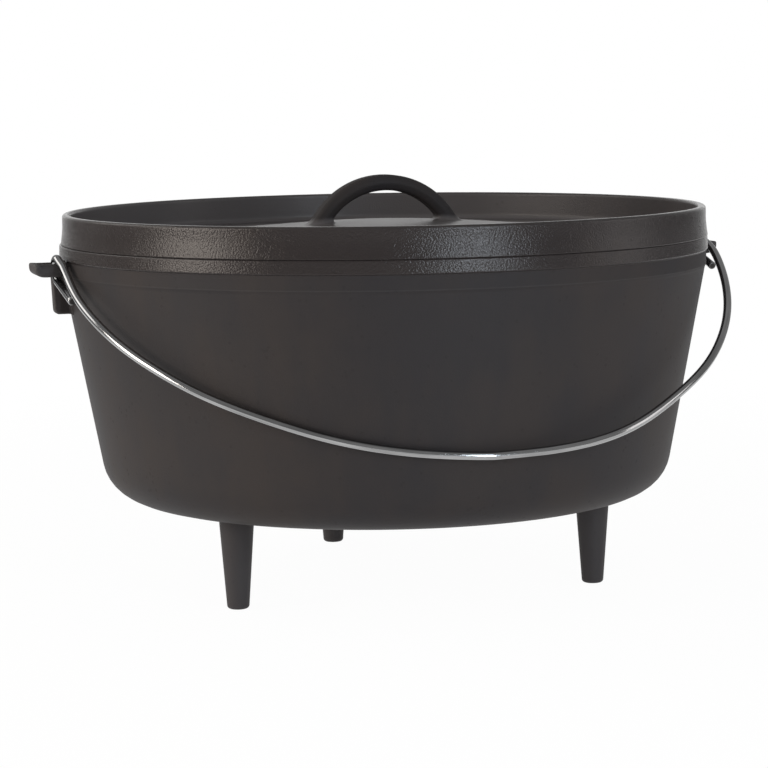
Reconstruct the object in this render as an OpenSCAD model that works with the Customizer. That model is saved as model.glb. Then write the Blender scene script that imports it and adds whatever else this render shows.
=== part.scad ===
// Camp dutch oven: a cast kettle on three legs, a flanged lid and a wire bail.
// Units are millimetres. The origin is on the floor under the centre, Z is up,
// X runs through both ears and -Y is the front, where the bail hangs at rest.

/* [Kettle] */
// Outer diameter of the lip around the rim
rim_d = 318.8; // [260:0.2:380]
// Height of the seat on the rim above the floor
rim_z = 170.1; // [130:0.1:240]
// Width of the seat on the rim, from the lip to the mouth
seat_w = 6.9; // [5:0.1:14]
// Height of the lip under the seat
lip_h = 6.2; // [4:0.1:12]
// How far the collar stands back from the lip
collar_step = 0.7; // [0.6:0.1:4]
// Height of the collar under the lip
collar_h = 8.6; // [5:0.1:20]
// How far the wall starts behind the collar
shoulder_step = 0.7; // [0.6:0.1:4]
// Lean of the wall from upright, in degrees
wall_lean = 10.46; // [4:0.02:16]
// Thickness of the wall
wall_t = 5; // [3.5:0.1:8]
// Thickness of the floor
floor_t = 6; // [4:0.1:10]
// Outer radius between wall and floor
bottom_r = 19.4; // [8:0.1:40]

/* [Legs] */
// Clear height under the kettle
leg_h = 44.4; // [25:0.1:70]
// How far the middle of a leg stands in from the foot of the wall
leg_inset = 34; // [26:0.5:60]
// Diameter of a leg where it meets the floor
leg_top_d = 17; // [12:0.1:24]
// Diameter of a leg at its foot
leg_foot_d = 10.4; // [7:0.1:16]
// Break around the edge of a foot
foot_break = 1; // [0.4:0.1:2]

/* [Ears] */
// How far the bars of an ear lie under the seat
ear_drop = 10.4; // [10:0.1:30]
// Diameter of the round bars of an ear
bar_d = 6.6; // [5:0.1:9]
// Width of the hole between the two bars
eye_w = 5.8; // [5:0.1:9]
// Length of the block that closes the ear
ear_end_l = 3.4; // [3.2:0.1:10]
// Radius under the outer end of an ear
ear_under_r = 4.4; // [2:0.1:6]
// Thickness of the rib under the rear bar
rib_t = 5.6; // [4:0.1:6]
// Height of the rib below the bars
rib_h = 21.8; // [12:0.1:40]
// Reach of the rib beyond the lip
rib_over = 5.4; // [2:0.1:9]

/* [Lid] */
// How far the top of the flange stands in from the lip of the kettle
flange_step = 1.4; // [0:0.1:6]
// Height of the flange above the seat
flange_h = 15; // [10:0.5:30]
// Thickness of the flange at its top edge
flange_t = 4; // [3:0.1:8]
// How far the foot of the flange flares out
flare = 1; // [0:0.1:4]
// Height of the flare
flare_h = 9; // [3:0.1:12]
// Thickness of the lid plate
plate_t = 5; // [3.5:0.1:8]
// Rise of the plate from its edge to its middle
dome_h = 8.4; // [4:0.1:20]
// Height of the plate edge over the seat
plate_edge_h = 0.1; // [0:0.1:3]
// Depth of the plug inside the mouth
plug_h = 4.9; // [2:0.1:10]
// How far the lid lies to the right in its slack
lid_shift = 0.5; // [0:0.1:0.8]

/* [Lid handle] */
// Outer radius of the loop
loop_r = 41.7; // [30:0.1:60]
// Thickness of the loop seen from the front
loop_t = 7.7; // [6:0.1:12]
// Width of the loop across
loop_w = 12; // [9:0.1:22]
// Break along the four edges of the loop
loop_break = 2.2; // [0.6:0.1:2.8]
// Height of the loop above the flange
loop_rise = 15.9; // [12:0.1:30]

/* [Bail] */
// Diameter of the wire
wire_d = 4; // [3:0.1:6]
// How much shorter the drop of the bail is than half of its span
bail_flat = 4.6; // [0:0.1:20]
// How far the bail lies to the right in its slack
bail_shift = 2.7; // [0:0.1:3.5]
// How far the lowest point of the bail lies right of its middle
bail_sway = 7; // [0:0.5:16]
// Turn of each hook around its bar, in degrees
hook_turn = 195; // [180:1:200]
// Length of the straight tip of the right hook
tip_l = 12; // [8:0.5:24]
// How much longer the straight tip of the left hook is
tip_more = 15; // [0:0.5:18]

/* [Fit] */
// Gap between a bar and the inside of its hook
hook_gap = 0.4; // [0.2:0.05:0.8]
// Gap between the lip and the hook that lies nearer to it
hook_side_gap = 2.6; // [0.6:0.1:3]
// Gap between the end of an ear and the hook that lies nearer to it
hook_end_gap = 0.4; // [0.3:0.1:3]
// Gap between the plug of the lid and the mouth
plug_gap = 1.2; // [0.9:0.1:2]
// Gap between the bail and the wall where it lies
rest_gap = 0.4; // [0.2:0.05:1]

/* [Hidden] */
$fn = 96;
overlap = 2;
rim_r = rim_d / 2;
mouth_r = rim_r - seat_w;
lean = tan(wall_lean);
lip_z = rim_z - lip_h;
shoulder_z = lip_z - collar_h;
collar_r = rim_r - collar_step;
shoulder_r = collar_r - shoulder_step;
edge = 0.8;

function wall_r(z) = shoulder_r - (shoulder_z - z) * lean;
function inner_r(z) = wall_r(z) - wall_t / cos(wall_lean);

// Centre of the round between the wall and the floor, for a radius r over the height z0
function round_y(z0, r) = z0 + r;
function round_x(face_r, r) = face_r - r / cos(wall_lean);

inside_r = max(4, bottom_r - wall_t);
inside_z = leg_h + floor_t;
out_cy = round_y(leg_h, bottom_r);
out_cx = round_x(wall_r(out_cy), bottom_r);
in_cy = round_y(inside_z, inside_r);
in_cx = round_x(inner_r(in_cy), inside_r);
leg_circle_r = wall_r(leg_h) - leg_inset;
throat_z = shoulder_z + (mouth_r - inner_r(shoulder_z)) / lean;

bar_y = (bar_d + eye_w) / 2;
hook_y = -bar_y;
ear_z = rim_z - ear_drop;
eye_end = rim_r + hook_side_gap + wire_d + 2 * bail_shift + hook_end_gap;
ear_reach = eye_end + ear_end_l;
rib_reach = rim_r + rib_over;
tab_t = bar_d + 0.4;
tab_half = bar_y + bar_d / 2 + 0.3;
tab_corner = min(3, ear_end_l / 2);
rib_draft = 1;
rib_corner = 3;

flange_r = rim_r - flange_step;
flange_z = rim_z + flange_h;
seat_r = flange_r + flare;
plug_r = mouth_r - plug_gap;
plate_z = rim_z + plate_edge_h;
dome_r = flange_r - flange_t - 4;
dome_steps = 14;
flare_steps = 6;
loop_mid = loop_r - loop_t / 2;
loop_z = flange_z + loop_rise - loop_r;
loop_foot_z = dome_z(loop_mid) - plate_t / 2;
loop_sink = asin((loop_foot_z - loop_z) / loop_mid);

hook_r = bar_d / 2 + hook_gap + wire_d / 2;
bail_half = rim_r + hook_side_gap + wire_d / 2 + bail_shift;
bail_drop = bail_half - bail_flat;
arc_split = 45;
left_half = bail_half + bail_sway;
right_half = bail_half - bail_sway;
knot_cut = 0.1;
knot_over = 0.16;

// Each branch of the bail is two bends: a wide one from the lowest point, a second one up to the hook
function bend_more(a) = (a - bail_drop) / (cos(arc_split) + sin(arc_split) - 1);
function side_r(a) = a - bend_more(a) * cos(arc_split);
function mid_r(a) = side_r(a) + bend_more(a);

// Clear distance from the wall to the wire when the bail hangs b degrees low, t degrees up a branch
function low_x(t) = bail_shift + bail_sway - mid_r(left_half) * sin(t);
function low_u(t) = bend_more(left_half) * sin(arc_split) - mid_r(left_half) * cos(t);
function bail_y(b, t) = hook_y + low_u(t) * cos(b) - hook_r * sin(b);
function bail_z(b, t) = ear_z + low_u(t) * sin(b) + hook_r * cos(b);
function clear_at(b, t) = (norm([low_x(t), bail_y(b, t)]) - wall_r(bail_z(b, t))) * cos(wall_lean);
function bail_clear(b) = min([for (t = [0 : 1 : 20]) clear_at(b, t)]) - wire_d / 2;
function rest_search(lo, hi, n) = n == 0 ? lo
    : bail_clear((lo + hi) / 2) > rest_gap ? rest_search((lo + hi) / 2, hi, n - 1)
    : rest_search(lo, (lo + hi) / 2, n - 1);
rest_tilt = rest_search(5, 60, 40);

function dome_z(r) = plate_z + dome_h * (1 + cos(180 * min(r, dome_r) / dome_r)) / 2;

module outside() {
    polygon([
        [0, leg_h],
        [out_cx, leg_h],
        [out_cx + bottom_r * cos(wall_lean), out_cy - bottom_r * sin(wall_lean)],
        [shoulder_r, shoulder_z],
        [collar_r - 0.6, shoulder_z + 1.4],
        [collar_r, lip_z - edge],
        [rim_r - edge / 2, lip_z],
        [rim_r, lip_z + edge],
        [rim_r, rim_z - edge],
        [rim_r - edge, rim_z],
        [0, rim_z]
    ]);
    translate([out_cx, out_cy]) circle(r = bottom_r);
}

module inside() {
    polygon([
        [0, inside_z],
        [in_cx, inside_z],
        [in_cx + inside_r * cos(wall_lean), in_cy - inside_r * sin(wall_lean)],
        [mouth_r, throat_z],
        [mouth_r, rim_z - edge],
        [mouth_r + edge, rim_z],
        [mouth_r + edge, rim_z + overlap],
        [0, rim_z + overlap]
    ]);
    translate([in_cx, in_cy]) circle(r = inside_r);
}

module shell() {
    rotate_extrude() difference() {
        outside();
        inside();
    }
}

module leg() {
    rotate_extrude() polygon([
        [0, 0],
        [leg_foot_d / 2 - foot_break, 0],
        [leg_foot_d / 2, foot_break],
        [leg_top_d / 2, leg_h],
        [leg_top_d / 2, leg_h + floor_t / 2],
        [0, leg_h + floor_t / 2]
    ]);
}

module legs() {
    for (a = [-150, -30, 90])
        rotate([0, 0, a]) translate([leg_circle_r, 0, 0]) leg();
}

module ear_bar(y) {
    translate([mouth_r + overlap, y, ear_z]) rotate([0, 90, 0])
        cylinder(d = bar_d, h = eye_end + overlap - mouth_r - overlap);
}

module ear_end() {
    intersection() {
        translate([0, 0, ear_z - tab_t]) linear_extrude(2 * tab_t) union() {
            translate([eye_end, -tab_half]) square([ear_end_l - tab_corner, 2 * tab_half]);
            translate([eye_end, -tab_half + tab_corner]) square([ear_end_l, 2 * (tab_half - tab_corner)]);
            translate([ear_reach - tab_corner, tab_half - tab_corner]) circle(r = tab_corner);
            translate([ear_reach - tab_corner, -tab_half + tab_corner]) circle(r = tab_corner);
        }
        rotate([90, 0, 0]) translate([0, 0, -2 * tab_half]) linear_extrude(4 * tab_half) difference() {
            translate([eye_end - overlap, ear_z - tab_t / 2]) square([ear_end_l + 2 * overlap, tab_t]);
            translate([ear_reach - ear_under_r, ear_z - tab_t / 2]) difference() {
                translate([0, -overlap]) square([ear_under_r + 2 * overlap, ear_under_r + overlap]);
                translate([0, ear_under_r]) circle(r = ear_under_r);
            }
        }
    }
}

module rib() {
    low = ear_z - rib_h;
    translate([0, bar_y + rib_t / 2, 0]) rotate([90, 0, 0]) linear_extrude(rib_t) union() {
        polygon([
            [mouth_r - overlap, ear_z],
            [inner_r(low) + overlap, low],
            [rib_reach - rib_draft - rib_corner, low],
            [rib_reach - rib_draft, low + rib_corner],
            [rib_reach, ear_z]
        ]);
        translate([rib_reach - rib_draft - rib_corner, low + rib_corner]) circle(r = rib_corner);
    }
}

module ear() {
    ear_bar(-bar_y);
    ear_bar(bar_y);
    ear_end();
    rib();
}

module kettle() {
    color([0.13, 0.125, 0.12]) union() {
        shell();
        legs();
        ear();
        mirror([1, 0, 0]) ear();
    }
}

module lid_body() {
    plug_z = rim_z - plug_h;
    rotate_extrude() polygon(concat(
        [for (i = [0 : dome_steps]) let (r = dome_r * i / dome_steps) [r, dome_z(r)]],
        [
            [flange_r - flange_t, plate_z + 6],
            [flange_r - flange_t, flange_z - 1],
            [flange_r - flange_t + 1, flange_z],
            [flange_r - 1, flange_z],
            [flange_r, flange_z - 1]
        ],
        [for (i = [0 : flare_steps]) let (t = i / flare_steps)
            [flange_r + flare * pow(t, 1.5), rim_z + flare_h * (1 - t)]],
        [
            [plug_r, rim_z],
            [plug_r, plug_z + 1],
            [plug_r - 1, plug_z]
        ],
        [for (i = [dome_steps - 1 : -1 : 0]) let (r = dome_r * i / dome_steps) [r, dome_z(r) - plate_t]]
    ));
}

module lid_loop() {
    translate([0, 0, loop_z]) rotate([90, 0, 0]) rotate([0, 0, loop_sink])
        rotate_extrude(angle = 180 - 2 * loop_sink) translate([loop_mid, 0]) polygon([
            [-loop_t / 2, loop_break - loop_w / 2],
            [loop_break - loop_t / 2, -loop_w / 2],
            [loop_t / 2 - loop_break, -loop_w / 2],
            [loop_t / 2, loop_break - loop_w / 2],
            [loop_t / 2, loop_w / 2 - loop_break],
            [loop_t / 2 - loop_break, loop_w / 2],
            [loop_break - loop_t / 2, loop_w / 2],
            [-loop_t / 2, loop_w / 2 - loop_break]
        ]);
}

module lid() {
    color([0.15, 0.145, 0.14]) translate([lid_shift, 0, 0]) union() {
        lid_body();
        lid_loop();
    }
}

// One bend of wire, a little short at both ends so that the knot there takes both ends in
module wire_arc(r, start, sweep) {
    short = knot_cut / r * 180 / PI;
    rotate([0, 0, start + short]) rotate_extrude(angle = sweep - 2 * short)
        translate([r, 0]) circle(d = wire_d, $fn = 32);
}

module knot() {
    sphere(d = wire_d + knot_over, $fn = 32);
}

module tip(l) {
    rotate_extrude($fn = 32) polygon([
        [0, knot_cut],
        [wire_d / 2, knot_cut],
        [wire_d / 2, l - 1],
        [wire_d / 2 - 0.8, l],
        [0, l]
    ]);
}

module hook(l) {
    rotate([0, 90, 0]) wire_arc(hook_r, 180 - hook_turn, hook_turn);
    translate([0, 0, hook_r]) knot();
    translate([0, hook_r * sin(180 - hook_turn), -hook_r * cos(180 - hook_turn)]) {
        knot();
        rotate([270 - hook_turn, 0, 0]) tip(l);
    }
}

// One branch of the bail, from its lowest point out to a hook at the distance a
module branch(side, a, l) {
    wide_start = side > 0 ? -90 : 180 + arc_split;
    near_start = side > 0 ? -arc_split : 180;
    translate([0, bend_more(a) * sin(arc_split), hook_r]) wire_arc(mid_r(a), wide_start, 90 - arc_split);
    translate([side * mid_r(a) * cos(arc_split), -side_r(a) * sin(arc_split), hook_r])
        rotate([0, 90, side * arc_split]) knot();
    translate([side * (a - side_r(a)), 0, hook_r]) wire_arc(side_r(a), near_start, arc_split);
    translate([side * a, 0, 0]) hook(l);
}

module bail() {
    color([0.72, 0.72, 0.73]) translate([bail_shift + bail_sway, hook_y, ear_z]) rotate([rest_tilt, 0, 0]) union() {
        translate([0, -bail_drop, hook_r]) rotate([0, 90, 0]) knot();
        branch(1, right_half, tip_l);
        branch(-1, left_half, tip_l + tip_more);
    }
}

kettle();
lid();
bail();
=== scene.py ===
"""A cast iron camp dutch oven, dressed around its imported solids.

Three pieces stand for the three solids: the kettle with its legs and ears, the lid with its
loop handle, and the wire bail. Sizes in the classes are millimetres, and the meshes are metres
in the frame of the solids: Z is up, X runs through both ears, -Y is the front.
"""

import logging
import math
from dataclasses import dataclass, field
from enum import Enum
from typing import Any, Callable, Mapping, Sequence, Union

import bpy
import numpy as np
from mathutils import Matrix, Vector


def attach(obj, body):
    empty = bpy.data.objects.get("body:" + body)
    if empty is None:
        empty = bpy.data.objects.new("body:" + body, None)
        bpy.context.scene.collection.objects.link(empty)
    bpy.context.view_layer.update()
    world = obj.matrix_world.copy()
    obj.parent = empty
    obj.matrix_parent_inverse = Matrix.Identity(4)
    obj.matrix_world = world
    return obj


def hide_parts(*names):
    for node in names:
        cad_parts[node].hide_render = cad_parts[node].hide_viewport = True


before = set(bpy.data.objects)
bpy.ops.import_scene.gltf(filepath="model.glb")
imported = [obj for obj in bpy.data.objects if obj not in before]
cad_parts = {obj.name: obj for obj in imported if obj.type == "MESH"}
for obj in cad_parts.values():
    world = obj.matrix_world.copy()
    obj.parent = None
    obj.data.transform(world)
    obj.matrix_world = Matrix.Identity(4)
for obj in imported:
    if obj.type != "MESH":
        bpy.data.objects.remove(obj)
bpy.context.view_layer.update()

LOG = logging.getLogger("dutch_oven")
MM = 0.001
# Lengths in millimetres that count as close, as the same place and as nothing.
CLOSE = 1e-3
SAME = 1e-6
TINY = 1e-9
WHITE = (1.0, 1.0, 1.0, 1.0)
Number = Union["Term", float]
Colour = tuple[float, float, float]
Place = tuple[float, float, float]
Span = tuple[float, float]
Faces = list[tuple[int, ...]]
Distance = Callable[[np.ndarray], np.ndarray]
Heights = Callable[[np.ndarray], np.ndarray]


def linked(name: str, data: bpy.types.ID) -> bpy.types.Object:
    """Makes the object of a mesh, a lamp or a camera, linked to the scene."""
    thing = bpy.data.objects.new(name, data)
    bpy.context.scene.collection.objects.link(thing)
    return thing


def length_along(line: np.ndarray) -> np.ndarray:
    """Gives the length of a line from its start to each of its points."""
    return np.concatenate([[0.0], np.cumsum(np.linalg.norm(np.diff(line, axis=0), axis=1))])


class Grain(Enum):
    """How much sand the mould left on a casting: height of the grain in millimetres."""

    SATIN = 0.05
    SANDY = 0.28


class Sum(Enum):
    """The Math node steps that a term can take."""

    ADD = "ADD"
    TAKE = "SUBTRACT"
    TIMES = "MULTIPLY"
    MORE = "MAXIMUM"


@dataclass
class Shell:
    """A closed mesh in millimetres.

    Attributes:
        points: Vertex places, n by 3.
        faces: Vertex numbers of each face.
        worn: How far each vertex lies on a rubbed edge, from 0 to 1.
        run: For wire, the vertex places as if the wire were straight, along X.
    """

    points: np.ndarray
    faces: Faces
    worn: np.ndarray
    run: np.ndarray | None = None

    def moved(self, offset: Sequence[float]) -> "Shell":
        """Gives the shell at another place."""
        return Shell(self.points + np.asarray(offset), self.faces, self.worn, self.run)

    def mirrored(self) -> "Shell":
        """Gives the shell mirrored in X, with its faces turned to point out again."""
        flipped = [tuple(reversed(face)) for face in self.faces]
        return Shell(self.points * np.array([-1.0, 1.0, 1.0]), flipped, self.worn)

    def turned(self, degrees: float) -> "Shell":
        """Gives the shell turned about Z."""
        c, s = math.cos(math.radians(degrees)), math.sin(math.radians(degrees))
        turn = np.array([[c, s, 0.0], [-s, c, 0.0], [0.0, 0.0, 1.0]])
        return Shell(self.points @ turn, self.faces, self.worn)

    @staticmethod
    def joined(shells: Sequence["Shell"]) -> "Shell":
        """Puts several shells into one.

        Args:
            shells: The shells of one casting.

        Returns:
            One shell with all their faces.
        """
        faces: Faces = []
        start = 0
        for shell in shells:
            faces += [tuple(v + start for v in face) for face in shell.faces]
            start += len(shell.points)
        points = np.concatenate([shell.points for shell in shells])
        return Shell(points, faces, np.concatenate([shell.worn for shell in shells]))

    @staticmethod
    def tube_faces(rings: int, sides: int) -> Faces:
        """Gives the faces of a tube that is closed by a point at each end.

        Args:
            rings: Number of rings, whose vertices come first and in order.
            sides: Number of vertices in a ring.

        Returns:
            The faces between the rings, then those around the first and the last point.
        """
        grid = np.arange(rings * sides).reshape(rings, sides)
        ahead = np.roll(grid, -1, axis=1)
        quads = np.stack([grid[:-1], ahead[:-1], ahead[1:], grid[1:]], axis=-1).reshape(-1, 4)
        low, high = rings * sides, rings * sides + 1
        faces: Faces = [tuple(q) for q in quads.tolist()]
        faces += [(low, b, a) for a, b in zip(grid[0].tolist(), ahead[0].tolist())]
        faces += [(high, a, b) for a, b in zip(grid[-1].tolist(), ahead[-1].tolist())]
        return faces

    def to_object(self, name: str) -> bpy.types.Object:
        """Makes the Blender object of this shell.

        Args:
            name: Name of the piece.

        Returns:
            The object, linked to the scene, with smooth faces.
        """
        mesh = bpy.data.meshes.new(name)
        mesh.from_pydata((self.points * MM).tolist(), [], self.faces)
        mesh.polygons.foreach_set("use_smooth", [True] * len(mesh.polygons))
        worn = mesh.attributes.new("worn", "FLOAT", "POINT")
        worn.data.foreach_set("value", self.worn.astype(np.float32))
        if self.run is not None:
            run = mesh.attributes.new("run", "FLOAT_VECTOR", "POINT")
            run.data.foreach_set("vector", (self.run * MM).astype(np.float32).ravel())
        mesh.update()
        return linked(name, mesh)


@dataclass(frozen=True)
class Corner:
    """A corner of a turned profile.

    Attributes:
        r: Distance from the axis.
        z: Height.
        rounding: Radius of its rounding.
        rubbed: How much of the wear of an outer edge it takes.
    """

    r: float
    z: float
    rounding: float = 0.0
    rubbed: float = 1.0


@dataclass
class Turning:
    """A closed profile turned about Z, with the metal on the left of its direction.

    Attributes:
        corners: The corners in order, the first and the last on the axis.
        segments: Number of steps around.
        step: Longest step along the profile, in millimetres.
        unevenness: Depth of the slow waves of the mould around the casting.
        arc_step: Longest step around a rounding, in degrees.
        arc_room: Share of a side of the profile that a rounding may take.
        arc_hold: Flat run beside a rounding, as a share of what it cuts off.
        rub_most: Most wear of an outer rounding.
        rub_r: Radius over which that wear fades.
        calm_r: Distance from the axis within which the waves fade.
        waves: Turns around the casting, lean and shift of each wave.
        wave_fall: How fast the later waves get lower.
        wave_half: Height of the waves.
        wave_sink: How far they are sunk below the profile.
    """

    corners: Sequence[Corner]
    segments: int = 288
    step: float = 4.0
    unevenness: float = 0.0
    arc_step: float = 11.0
    arc_room: float = 0.47
    arc_hold: float = 0.3
    rub_most: float = 0.38
    rub_r: float = 1.6
    calm_r: float = 60.0
    waves: tuple[tuple[int, float, float], ...] = (
        (2, 0.011, 0.4),
        (5, 0.023, 1.9),
        (9, -0.05, 3.1),
        (16, 0.07, 5.2),
        (27, -0.11, 0.8),
    )
    wave_fall: float = 0.45
    wave_half: float = 0.22
    wave_sink: float = 0.55

    def _rounded(self, index: int) -> list[tuple[float, float, float]]:
        """Rounds one corner.

        Args:
            index: Number of the corner.

        Returns:
            Its points as distance, height and wear.
        """
        here = self.corners[index]
        spot = np.array([here.r, here.z])
        if index in (0, len(self.corners) - 1) or here.rounding <= 0.0:
            return [(here.r, here.z, 0.0)]
        before, after = self.corners[index - 1], self.corners[index + 1]
        back = np.array([before.r, before.z]) - spot
        ahead = np.array([after.r, after.z]) - spot
        room = self.arc_room * min(np.linalg.norm(back), np.linalg.norm(ahead))
        back, ahead = back / np.linalg.norm(back), ahead / np.linalg.norm(ahead)
        inner = math.acos(float(np.clip(back @ ahead, -1.0, 1.0)))
        cut = min(here.rounding / math.tan(inner / 2), room)
        radius = cut * math.tan(inner / 2)
        middle = spot + (back + ahead) / np.linalg.norm(back + ahead) * radius / math.sin(inner / 2)
        sweep = math.pi - inner
        steps = max(3, math.ceil(math.degrees(sweep) / self.arc_step))
        first = spot + back * cut - middle
        outward = back[1] * ahead[0] - back[0] * ahead[1] > 0.0
        sign = 1.0 if outward else -1.0
        hold = self.arc_hold * cut
        rub = min(self.rub_most, here.rubbed * math.exp(-radius / self.rub_r))
        wear = rub if outward else 0.0
        found = [(*(spot + back * (cut + hold)), 0.0)]
        for i in range(steps + 1):
            turn = sign * sweep * i / steps
            c, s = math.cos(turn), math.sin(turn)
            spot_i = middle + np.array([c * first[0] - s * first[1], s * first[0] + c * first[1]])
            found.append((*spot_i, wear * math.sin(math.pi * (i + 0.5) / (steps + 1))))
        found.append((*(spot + ahead * (cut + hold)), 0.0))
        return found

    def profile(self) -> np.ndarray:
        """Gives the rounded profile in short steps, as rows of distance, height and wear."""
        rough = [p for i in range(len(self.corners)) for p in self._rounded(i)]
        rows = [np.array(rough[0])]
        for p in rough[1:]:
            a, b = rows[-1], np.array(p)
            length = float(np.linalg.norm(b[:2] - a[:2]))
            if length < SAME:
                continue
            parts = max(1, math.ceil(length / self.step))
            rows += [a + (b - a) * k / parts for k in range(1, parts + 1)]
        return np.array(rows)

    def _waves(self, angle: np.ndarray, z: np.ndarray) -> np.ndarray:
        """Gives the slow waves of the mould, from about 0 to about -1, over angle and height."""
        total = np.zeros(np.broadcast_shapes(angle.shape, z.shape))
        for k, (turns, lean, shift) in enumerate(self.waves):
            total = total + np.sin(turns * angle + lean * z + shift) / (1.0 + self.wave_fall * k)
        return self.wave_half * total - self.wave_sink

    def shell(self) -> Shell:
        """Turns the profile into a closed shell."""
        rows = self.profile()
        angle = np.arange(self.segments) * 2.0 * math.pi / self.segments
        ring = rows[1:-1]
        wave = self.unevenness * self._waves(angle[None, :], ring[:, 1:2])
        fade = np.clip(ring[:, 0:1] / self.calm_r, 0.0, 1.0)
        r = ring[:, 0:1] + wave * fade
        places = np.stack(
            [r * np.cos(angle), r * np.sin(angle), np.broadcast_to(ring[:, 1:2], r.shape)], axis=-1
        )
        ends = np.array([[0.0, 0.0, rows[0, 1]], [0.0, 0.0, rows[-1, 1]]])
        points = np.concatenate([places.reshape(-1, 3), ends])
        worn = np.concatenate([np.repeat(ring[:, 2], self.segments), [0.0, 0.0]])
        return Shell(points, Shell.tube_faces(len(ring), self.segments), worn)


class Form:
    """Signed distances of simple solids, in millimetres, for castings that flow together."""

    @staticmethod
    def softened(q: np.ndarray, edge: float) -> np.ndarray:
        """Gives the distance to a box with rounded edges, from how far points lie past its core."""
        return np.linalg.norm(np.maximum(q, 0.0), axis=-1) + np.minimum(q.max(axis=-1), 0.0) - edge

    @staticmethod
    def block(p: np.ndarray, low: Sequence[float], high: Sequence[float], edge: float) -> np.ndarray:
        """Gives the distance to a block with rounded edges."""
        low, high = np.asarray(low), np.asarray(high)
        return Form.softened(np.abs(p - (low + high) / 2) - (high - low) / 2 + edge, edge)

    @staticmethod
    def panel(p: np.ndarray, start: Sequence[float], end: Sequence[float], corner: float) -> np.ndarray:
        """Gives the distance to a flat panel with rounded corners, mirrored in its second axis.

        Args:
            p: Points, n by 2.
            start: Near end of its middle line.
            end: Far end, with half of its width.
            corner: Radius of its corners.

        Returns:
            One distance for each point.
        """
        middle, half = (start[0] + end[0]) / 2, (end[0] - start[0]) / 2
        along, across = np.abs(p[..., 0] - middle) - half, np.abs(p[..., 1] - start[1]) - end[1]
        return Form.softened(np.stack([along, across], -1) + corner, corner)

    @staticmethod
    def outline(p: np.ndarray, corners: Sequence[Sequence[float]]) -> np.ndarray:
        """Gives the distance to a flat outline, counter-clockwise, negative inside.

        Args:
            p: Points, n by 2.
            corners: Corners of the outline.

        Returns:
            One distance for each point.
        """
        ring = np.asarray(corners, float)
        least = np.full(p.shape[:-1], np.inf)
        inside = np.zeros(p.shape[:-1], bool)
        for a, b in zip(ring, np.roll(ring, -1, axis=0)):
            along = np.clip(((p - a) @ (b - a)) / ((b - a) @ (b - a)), 0.0, 1.0)
            gap = p - a - along[..., None] * (b - a)
            least = np.minimum(least, (gap * gap).sum(axis=-1))
            crosses = (a[1] > p[..., 1]) != (b[1] > p[..., 1])
            rise = b[1] - a[1] if b[1] != a[1] else TINY
            inside ^= crosses & (p[..., 0] < a[0] + (b[0] - a[0]) * (p[..., 1] - a[1]) / rise)
        return np.where(inside, -1.0, 1.0) * np.sqrt(least)

    @staticmethod
    def flowed(a: np.ndarray, b: np.ndarray, width: float) -> np.ndarray:
        """Joins two solids with a fillet of about the given width."""
        share = np.clip(0.5 + 0.5 * (b - a) / width, 0.0, 1.0)
        return b * (1.0 - share) + a * share - width * share * (1.0 - share)

    @staticmethod
    def eased(a: np.ndarray, b: np.ndarray, width: float) -> np.ndarray:
        """Keeps what two solids share, with the edge between them rounded."""
        return -Form.flowed(-a, -b, width)


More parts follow.
